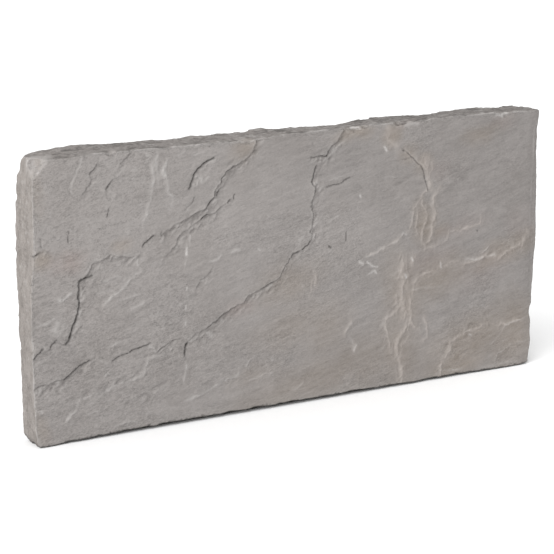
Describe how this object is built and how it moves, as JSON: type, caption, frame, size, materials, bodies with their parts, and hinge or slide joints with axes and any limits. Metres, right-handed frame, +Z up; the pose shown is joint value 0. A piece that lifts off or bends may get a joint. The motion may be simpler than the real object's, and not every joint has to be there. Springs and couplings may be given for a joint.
{
  "type": "sandstone edging stone",
  "caption": "Long upright riven sandstone slab with dressed ends and top, set on its long edge to hold back soil or edge a path, bed or lawn.",
  "frame": {"origin": "middle of the flat bed face that the stone stands on", "axes": "+X along the stone, +Y through its thickness from the riven show face to the back, +Z up"},
  "size_m": [0.9108, 0.0552, 0.4238],
  "materials": {
    "sandstone": "riven, matt grey sandstone with pale veins and faint brown staining"
  },
  "bodies": {
    "root": {"edging_stone": "sandstone"}
  },
  "joints": []
}
